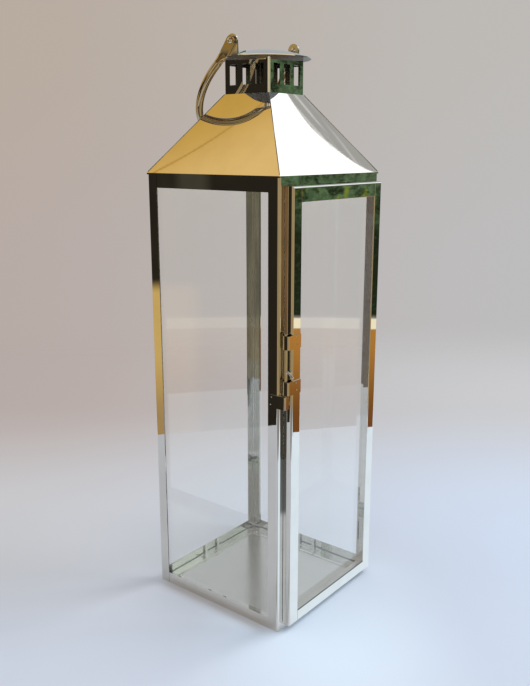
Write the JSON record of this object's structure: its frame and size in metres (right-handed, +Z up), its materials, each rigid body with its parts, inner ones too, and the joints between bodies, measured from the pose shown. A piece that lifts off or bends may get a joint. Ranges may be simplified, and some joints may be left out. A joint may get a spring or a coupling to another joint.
{
  "type": "candle lantern",
  "caption": "Tall square candle lantern in polished steel and clear glass, with a latched glass door, a hipped roof, a slotted vent under a domed cap and a ring bail.",
  "frame": {"origin": "centre of the square base, on the surface that the lantern stands on", "axes": "+Z up, -Y out of the door, +X towards the door's hinges"},
  "size_m": [0.1826, 0.1976, 0.6283],
  "materials": {
    "polished_steel": "mirror polished",
    "steel_rod": "polished",
    "clear_glass": "clear"
  },
  "bodies": {
    "body": {"base_plate": "polished_steel", "corner_post_front_left": "polished_steel", "corner_post_front_right": "polished_steel", "corner_post_rear_right": "polished_steel", "corner_post_rear_left": "polished_steel", "bottom_rail_front": "polished_steel", "bottom_rail_right": "polished_steel", "bottom_rail_rear": "polished_steel", "bottom_rail_left": "polished_steel", "top_rail_front": "polished_steel", "top_rail_right": "polished_steel", "top_rail_rear": "polished_steel", "top_rail_left": "polished_steel", "glass_clip_left": "polished_steel", "glass_clip_right": "polished_steel", "glass_clip_rear": "polished_steel", "roof_panel_front": "polished_steel", "roof_panel_right": "polished_steel", "roof_panel_rear": "polished_steel", "roof_panel_left": "polished_steel", "vent_collar": "polished_steel", "cap": "polished_steel", "bail_lug_left": "polished_steel", "bail_lug_right": "polished_steel", "latch_keeper": "polished_steel", "hinge_body_leaf_lower": "polished_steel", "hinge_body_leaf_upper": "polished_steel", "base_rivets": "steel_rod", "pivot_rivets": "steel_rod", "hinge_pin_lower": "steel_rod", "hinge_pin_upper": "steel_rod", "glass_left": "clear_glass", "glass_right": "clear_glass", "glass_rear": "clear_glass"},
    "door": {"door_stile_latch": "polished_steel", "door_stile_hinge": "polished_steel", "door_top_rail": "polished_steel", "door_bottom_rail": "polished_steel", "door_glass_clips": "polished_steel", "bolt_guide_upper": "polished_steel", "bolt_guide_lower": "polished_steel", "hinge_door_leaf_lower": "polished_steel", "hinge_door_leaf_upper": "polished_steel", "door_glass": "clear_glass"},
    "bolt": {"latch_bolt": "steel_rod", "latch_pin": "steel_rod"},
    "bail": {"bail_handle": "steel_rod"}
  },
  "joints": [
    {"name": "door_hinge", "type": "hinge", "parent": "body", "child": "door", "pos_m": [0.0858, -0.094, 0.2433], "axis": [0, 0, 1], "range_deg": [0, 140]},
    {"name": "bolt_slide", "type": "slide", "parent": "door", "child": "bolt", "axis": [0, 0, 1], "range_m": [-0.006, 0.021]},
    {"name": "bail_swing", "type": "hinge", "parent": "body", "child": "bail", "pos_m": [0, 0, 0.6213], "axis": [1, 0, 0], "range_deg": [0, 287.5]}
  ]
}
